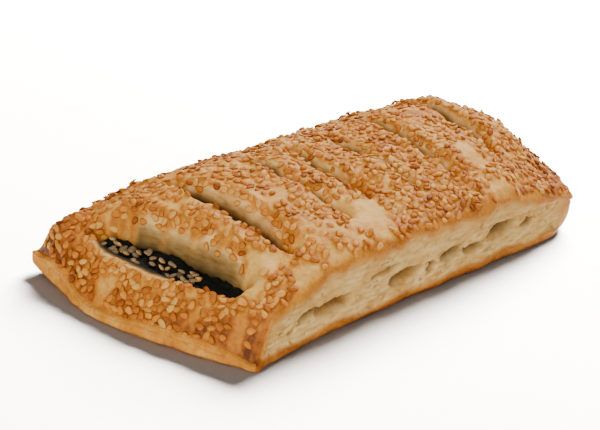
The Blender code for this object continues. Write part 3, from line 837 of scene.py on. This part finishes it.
def make_fallen_sesame(sesame, colours):
    """The seeds that fell through the widest slit, heaped against its near lip."""
    draw = np.random.default_rng(RANDOM_SEED + 1)
    shape = seed_shape(0.88 * sesame.length, 1.05 * sesame.width, 1.1 * sesame.thickness)
    slit = SLITS[0]
    count = sesame.fallen
    share = draw.uniform(0, 1, count) ** 1.1
    y = slit.back - 6 * MM - share * 0.62 * (slit.back - slit.front)
    lens = np.sqrt(1 - ((2 * y - slit.back - slit.front) / (slit.back - slit.front)) ** 2)
    x = slit_line(slit, y / (WIDTH / 2)) + draw.uniform(-0.55, 0.15, count) * slit.gape * lens
    under = np.maximum(filling_height(x, y), crust_height(x, y))
    height = under + (0.3 + 1.1 * draw.uniform(0, 1, count)) * MM
    normals = np.tile((0.25, 0.0, 0.97), (count, 1))
    # fallen seeds take the ramp's first colour: steamed grey darkened with painted shade
    toast = np.clip(draw.normal(-0.3, 0.08, count), -0.5, 0.0)
    points = laid_seeds(rows(x, y, height) + SHIFT, normals, shape[0], draw, FALLEN_TILT)
    seeds = add_seeds("sesame_fallen", points, toast, shape, RIM_TOAST / 2)
    dress(seeds, sesame_toasted(colours), "spinach", "filling")
    return seeds


# ------------ materials


def node(tree, kind, inputs=None, output=0, stops=(), **settings):
    """Adds a node and gives one of its outputs.

    inputs are values or the outputs that feed them, by socket name or number, and stops are the
    places and colours of a ramp.
    """
    made = tree.nodes.new(kind)
    for name, value in settings.items():
        setattr(made, name, value)
    for socket, value in (inputs or {}).items():
        if isinstance(value, bpy.types.NodeSocket):
            tree.links.new(value, made.inputs[socket])
        else:
            made.inputs[socket].default_value = value
    for number, (place, colour) in enumerate(stops):
        elements = made.color_ramp.elements
        element = elements[number] if number < len(elements) else elements.new(place)
        element.position = place
        element.color = (*colour, 1)
    return made.outputs[output] if len(made.outputs) else None


def new_material(name):
    made = bpy.data.materials.new(name)
    made.use_nodes = True
    made.node_tree.nodes.clear()
    return made, made.node_tree


def finish_surface(tree, colour, roughness, height, distance, sockets=None):
    """The Principled surface with its colour, roughness and relief, and the output."""
    relief = node(tree, "ShaderNodeBump", {"Height": height, "Distance": distance, "Strength": 1.0})
    inputs = {"Base Color": colour, "Roughness": roughness, "Normal": relief}
    inputs.update(sockets or {})
    surface = node(tree, "ShaderNodeBsdfPrincipled", inputs)
    node(tree, "ShaderNodeOutputMaterial", {"Surface": surface})


def puff_pastry_baked(colours):
    """Egg-washed puff pastry: golden patchy crust, browned at its edges and round the seeds, and
    pale matt dough where it was cut or slit, with painted shade deep in its air pockets and down
    its slits' walls. Its upright webs are drawn coarser than real ones, which are too fine to show."""
    made, tree = new_material("puff_pastry_baked")
    place = node(tree, "ShaderNodeTexCoord", output="Object")
    crumb, brown, hollow, shade = (
        node(tree, "ShaderNodeAttribute", output="Fac", attribute_name=name)
        for name in Surface._fields[1:]
    )
    patches, specks = (
        node(tree, "ShaderNodeTexNoise", {"Vector": place, "Scale": 1 / size, "Detail": 4.0})
        for size in (7 * MM, 1.3 * MM)
    )
    brown = node(tree, "ShaderNodeMath", {0: patches, 1: 0.9, 2: brown}, operation="MULTIPLY_ADD")
    brown = node(tree, "ShaderNodeMath", {0: specks, 1: 0.5, 2: brown}, operation="MULTIPLY_ADD")
    brown = node(
        tree, "ShaderNodeMath", {0: brown, 1: 0.7}, operation="SUBTRACT", use_clamp=True
    )
    stops = (
        (0.0, colours.crust_pale),
        (0.34, colours.crust_gold),
        (0.7, colours.crust_brown),
        (1.0, colours.crust_dark),
    )
    crust = node(tree, "ShaderNodeValToRGB", {"Fac": brown}, stops=stops)

    grains = []
    flaky, upright = ((0.4, 0.4, 1.15), 1.6 * MM, 3.0), ((1.0, 1.0, 0.16), 0.8 * MM, 2.0)
    for stretch, size, detail in (flaky, upright):
        drawn = node(tree, "ShaderNodeVectorMath", {0: place, 1: stretch}, operation="MULTIPLY")
        inputs = {"Vector": drawn, "Scale": 1 / size, "Detail": detail}
        grains.append(node(tree, "ShaderNodeTexNoise", inputs))
    layers, webs = grains
    webs = node(tree, "ShaderNodeMath", {0: webs, 1: 0.5}, operation="SUBTRACT")
    seen = node(tree, "ShaderNodeMath", {0: hollow, 1: 0.5, 2: 0.06}, operation="MULTIPLY_ADD")
    mixed = node(tree, "ShaderNodeMath", {0: webs, 1: seen, 2: layers}, operation="MULTIPLY_ADD")
    stops = ((0.27, colours.dough_shade), (0.48, colours.dough_straw), (0.68, colours.dough_cream))
    dough = node(tree, "ShaderNodeValToRGB", {"Fac": mixed}, stops=stops)
    # painted shade: the dough is multiplied darker with the depth of its air pockets and down the
    # slits' walls
    depth = node(tree, "ShaderNodeMath", {0: hollow, 1: 0.95, 2: shade}, operation="MULTIPLY_ADD")
    stops = ((0.0, (1, 1, 1)), (0.6, colours.recess_painted_shade), (1.0, colours.deep_recess_painted_shade))
    tint = node(tree, "ShaderNodeValToRGB", {"Fac": depth}, stops=stops)
    dough = node(
        tree,
        "ShaderNodeMix",
        {0: 1.0, 6: dough, 7: tint},
        output=2,
        data_type="RGBA",
        blend_type="MULTIPLY",
    )
    colour = node(tree, "ShaderNodeMix", {0: crumb, 6: crust, 7: dough}, output=2, data_type="RGBA")
    roughness = node(tree, "ShaderNodeMath", {0: crumb, 1: 0.25, 2: 0.6}, operation="MULTIPLY_ADD")
    bumpy = node(tree, "ShaderNodeMath", {0: specks, 1: 0.7, 2: patches}, operation="MULTIPLY_ADD")
    fine = node(tree, "ShaderNodeMath", {0: mixed, 1: 0.25}, operation="MULTIPLY")
    height = node(tree, "ShaderNodeMix", {0: crumb, 2: bumpy, 3: fine}, output=0)
    matt = {"Specular IOR Level": 0.1}
    finish_surface(tree, colour, roughness, height, 0.5 * MM, matt)
    return made


def sesame_toasted(colours):
    """Hulled sesame, toasted on the crust: satin, tan on top and caramel round the rim, where
    the glaze browned, no two alike."""
    made, tree = new_material("sesame_toasted")
    place = node(tree, "ShaderNodeTexCoord", output="Object")
    toast = node(tree, "ShaderNodeAttribute", output="Fac", attribute_name="toast")
    mottle = node(
        tree, "ShaderNodeTexNoise", {"Vector": place, "Scale": 1 / (0.9 * MM), "Detail": 3.0}
    )
    toast = node(tree, "ShaderNodeMath", {0: mottle, 1: 0.5, 2: toast}, operation="MULTIPLY_ADD")
    scaled = {0: toast, 1: 0.6, 2: -0.04}
    toast = node(tree, "ShaderNodeMath", scaled, operation="MULTIPLY_ADD", use_clamp=True)
    stops = (
        (0.0, colours.seed_steamed_and_shaded),
        (0.12, colours.seed_ivory),
        (0.34, colours.seed_tan),
        (0.66, colours.seed_caramel),
        (1.0, colours.seed_burnt),
    )
    colour = node(tree, "ShaderNodeValToRGB", {"Fac": toast}, stops=stops)
    roughness = node(tree, "ShaderNodeMath", {0: mottle, 1: 0.3, 2: 0.42}, operation="MULTIPLY_ADD")
    height = node(
        tree, "ShaderNodeTexNoise", {"Vector": place, "Scale": 1 / (0.4 * MM), "Detail": 2.0}
    )
    finish_surface(tree, colour, roughness, height, 0.07 * MM, {"Specular IOR Level": 0.08})
    return made


def spinach_cooked(colours):
    """Chopped spinach, cooked down: near-black green leaves, moist and shiny on their folds."""
    made, tree = new_material("spinach_cooked")
    place = node(tree, "ShaderNodeTexCoord", output="Object")
    leaf = node(
        tree, "ShaderNodeTexNoise", {"Vector": place, "Scale": 1 / (2.6 * MM), "Detail": 5.0}
    )
    stops = ((0.35, colours.spinach_dark), (0.55, colours.spinach), (0.72, colours.spinach_light))
    colour = node(tree, "ShaderNodeValToRGB", {"Fac": leaf}, stops=stops)
    roughness = node(tree, "ShaderNodeMath", {0: leaf, 1: 0.5, 2: 0.4}, operation="MULTIPLY_ADD")
    height = node(
        tree, "ShaderNodeTexNoise", {"Vector": place, "Scale": 1 / (0.9 * MM), "Detail": 4.0}
    )
    finish_surface(tree, colour, roughness, height, 0.4 * MM, {"Specular IOR Level": 0.15})
    return made


def paper_white():
    """Matt white paper, its tooth drawn coarser than real, as that is too fine to show."""
    made, tree = new_material("backdrop_paper_white")
    place = node(tree, "ShaderNodeTexCoord", output="Object")
    tooth = node(
        tree, "ShaderNodeTexNoise", {"Vector": place, "Scale": 1 / (2 * MM), "Detail": 3.0}
    )
    stops = ((0.3, to_linear("#A9A29B")), (0.7, to_linear("#ADA69F")))
    colour = node(tree, "ShaderNodeValToRGB", {"Fac": tooth}, stops=stops)
    finish_surface(tree, colour, 0.9, tooth, 0.02 * MM, {"Specular IOR Level": 0.2})
    return made


# ------------ the stage

FLOOR_HALF = 3.0
MIDDLE = (0, 0, 0)
KEY_PLACE, KEY_SIZE = (0.58, 0.27, 0.56), 0.38
FLOOR_KEY_PLACE, FLOOR_KEY_SIZE = (0.65, 0.31, 0.54), 0.48
FLOOR_KEY_AIM = (0.3, 0.14, 0)  # steep, so that the far floor isn't behind the lamp
FILL_PLACE, FILL_SIZE = (-0.75, -0.5, 0.28), 0.6
CAMERA_PLACE = (-0.3132, -0.2808, 0.2271)
CAMERA_TURNS = (43.3, 27.2, 6.2)  # degrees: azimuth from +X, tilt down and roll
CAMERA_LENS = 84


def aim(thing, target):
    thing.rotation_euler = (Vector(target) - thing.location).to_track_quat("-Z", "Y").to_euler()


def area_light(name, place, target, size, power, lit=()):
    """A soft square light; where things are named in lit, it reaches those alone."""
    lamp = bpy.data.lights.new(name, "AREA")
    lamp.energy = power
    lamp.size = size
    made = bpy.data.objects.new(name, lamp)
    bpy.context.scene.collection.objects.link(made)
    made.location = place
    aim(made, target)
    if lit:
        made.light_linking.receiver_collection = bpy.data.collections.new(f"{name}_reaches")
        for thing in lit:
            made.light_linking.receiver_collection.objects.link(thing)


def add_camera():
    azimuth, tilt, roll = (math.radians(turn) for turn in CAMERA_TURNS)
    flat = math.cos(tilt)
    forward = Vector((flat * math.cos(azimuth), flat * math.sin(azimuth), -math.sin(tilt)))
    right = forward.cross(Vector((0, 0, 1))).normalized()
    above = right.cross(forward)
    across = math.cos(roll) * right + math.sin(roll) * above
    upward = math.cos(roll) * above - math.sin(roll) * right
    lens = bpy.data.cameras.new("camera")
    lens.sensor_width = 36
    lens.lens = CAMERA_LENS
    lens.clip_start = 0.01
    made = bpy.data.objects.new("camera", lens)
    turned = Matrix((across, upward, -forward)).transposed().to_4x4()
    turned.translation = CAMERA_PLACE
    made.matrix_world = turned
    bpy.context.scene.collection.objects.link(made)
    bpy.context.scene.camera = made


def make_stage(stage):
    corners = FLOOR_HALF * np.array([(-1, -1, 0), (1, -1, 0), (1, 1, 0), (-1, 1, 0)])
    floor = add_mesh("floor", corners, [(0, 1, 2, 3)])
    floor.data.materials.append(paper_white())
    # The bright floor would flood the cut sides with bounced light
    floor.visible_diffuse = False
    strudel = [made for made in bpy.context.scene.objects if made.type == "MESH" and made != floor]
    area_light("key", KEY_PLACE, MIDDLE, KEY_SIZE, stage.key_power)
    # The floor's own lamp whitens it and sets its shadow; the fill reaches the strudel alone
    area_light(
        "floor_key", FLOOR_KEY_PLACE, FLOOR_KEY_AIM, FLOOR_KEY_SIZE, stage.floor_power, [floor]
    )
    area_light("fill", FILL_PLACE, MIDDLE, FILL_SIZE, stage.fill_power, strudel)
    world = bpy.data.worlds.new("studio")
    world.use_nodes = True
    sky = world.node_tree.nodes["Background"]
    sky.inputs["Color"].default_value = (1, 1, 1, 1)
    sky.inputs["Strength"].default_value = stage.sky
    bpy.context.scene.world = world
    add_camera()


# ------------ the add-on


class StrudelSesame(bpy.types.PropertyGroup):
    length: FloatProperty(
        name="Length", description="Length of one seed", default=3.2 * MM, unit="LENGTH"
    )
    width: FloatProperty(
        name="Width", description="Width of one seed", default=2.25 * MM, unit="LENGTH"
    )
    thickness: FloatProperty(
        name="Thickness", description="Thickness of one seed", default=1.1 * MM, unit="LENGTH"
    )
    tries: IntProperty(
        name="Throws", description="Seeds thrown, many of which find no room", default=16000
    )
    fallen: IntProperty(
        name="Fallen", description="Seeds that lie on the filling in the widest slit", default=44
    )


class StrudelColours(bpy.types.PropertyGroup):
    crust_pale: colour_property("Pale crust", "Crust that took least colour", "#D19F4E")
    crust_gold: colour_property("Golden crust", "Most of the crust", "#BA7722")
    crust_brown: colour_property("Browned crust", "Edges and corners", "#934F14")
    crust_dark: colour_property("Dark crust", "The darkest edges", "#4F290E")
    dough_cream: colour_property("Cream dough", "Leaves that catch the light", "#ECC57F")
    dough_straw: colour_property("Straw dough", "Most of the inner dough", "#DEB065")
    dough_shade: colour_property("Shaded dough", "Gaps between the leaves", "#BA8E4F")
    # painted shade: the dough is multiplied by this part way into the air pockets and down the
    # slits' walls
    recess_painted_shade: colour_property("Pocket tint", "How the air pockets tint the dough", "#948C82")
    # painted shade: the darkest multiplier, at the foot of the slits' walls and deep in the air
    # pockets
    deep_recess_painted_shade: colour_property("Slit tint", "How the foot of a slit's wall is tinted", "#2D2F30")
    # the grey of seeds that only steamed, darkened with painted shade of the slit they lie in
    seed_steamed_and_shaded: colour_property("Raw seed", "Seeds that fell in and only steamed", "#77634A")
    seed_ivory: colour_property("Ivory seed", "Seeds that took no colour", "#CE9646")
    seed_tan: colour_property("Tan seed", "Most of the seeds", "#B86F1F")
    seed_caramel: colour_property("Caramel seed", "Well toasted seeds", "#8B4410")
    seed_burnt: colour_property("Burnt seed", "The few darkest", "#381A08")
    spinach_dark: colour_property("Dark spinach", "Folds of the filling", "#060805")
    spinach: colour_property("Spinach", "Most of the filling", "#0B0E08")
    spinach_light: colour_property("Light spinach", "Leaf backs", "#141A0E")


class StrudelStage(bpy.types.PropertyGroup):
    key_power: FloatProperty(
        name="Key light", description="Soft light from above behind", default=16.5, unit="POWER"
    )
    floor_power: FloatProperty(
        name="Floor light", description="What the floor gets besides", default=502.0, unit="POWER"
    )
    fill_power: FloatProperty(
        name="Fill light", description="Soft light from the front", default=12.0, unit="POWER"
    )
    sky: FloatProperty(name="Sky", description="Brightness of the white studio", default=0.45)


class MakePastry(bpy.types.Operator):
    """Makes the baked case with its crust, cut sides and slits"""

    bl_idname = "strudel.pastry"
    bl_label = "Pastry"

    def execute(self, context):
        make_pastry(context.scene.strudel_sesame, context.scene.strudel_colours)
        return {"FINISHED"}


class MakeFilling(bpy.types.Operator):
    """Makes the spinach filling that shows in the open slits"""

    bl_idname = "strudel.filling"
    bl_label = "Filling"

    def execute(self, context):
        make_filling(context.scene.strudel_colours)
        return {"FINISHED"}


class MakeSesame(bpy.types.Operator):
    """Sows the crust with sesame, and drops some on the filling"""

    bl_idname = "strudel.sesame"
    bl_label = "Sesame"

    def execute(self, context):
        make_sesame(context.scene.strudel_sesame, context.scene.strudel_colours)
        make_fallen_sesame(context.scene.strudel_sesame, context.scene.strudel_colours)
        return {"FINISHED"}


class MakeStage(bpy.types.Operator):
    """Makes the floor, the lights and the camera"""

    bl_idname = "strudel.stage"
    bl_label = "Stage"

    def execute(self, context):
        make_stage(context.scene.strudel_stage)
        return {"FINISHED"}


class StrudelPanel(bpy.types.Panel):
    bl_idname = "VIEW3D_PT_strudel"
    bl_label = "Strudel"
    bl_space_type = "VIEW_3D"
    bl_region_type = "UI"
    bl_category = "Strudel"

    def draw(self, context):
        for group in ("strudel_sesame", "strudel_colours", "strudel_stage"):
            settings = getattr(context.scene, group)
            for name in settings.bl_rna.properties.keys():
                if name not in ("rna_type", "name"):
                    self.layout.prop(settings, name)
        for operator in OPERATORS:
            self.layout.operator(operator.bl_idname)


OPERATORS = (MakePastry, MakeFilling, MakeSesame, MakeStage)
GROUPS = {
    "strudel_sesame": StrudelSesame,
    "strudel_colours": StrudelColours,
    "strudel_stage": StrudelStage,
}


def register():
    for made in (*GROUPS.values(), *OPERATORS, StrudelPanel):
        bpy.utils.register_class(made)
    for name, group in GROUPS.items():
        setattr(bpy.types.Scene, name, PointerProperty(type=group))


def unregister():
    for name in GROUPS:
        delattr(bpy.types.Scene, name)
    for made in (StrudelPanel, *OPERATORS, *GROUPS.values()):
        bpy.utils.unregister_class(made)


def main():
    register()
    bpy.ops.strudel.pastry()
    bpy.ops.strudel.filling()
    bpy.ops.strudel.sesame()
    bpy.ops.strudel.stage()


if __name__ == "__main__":
    main()
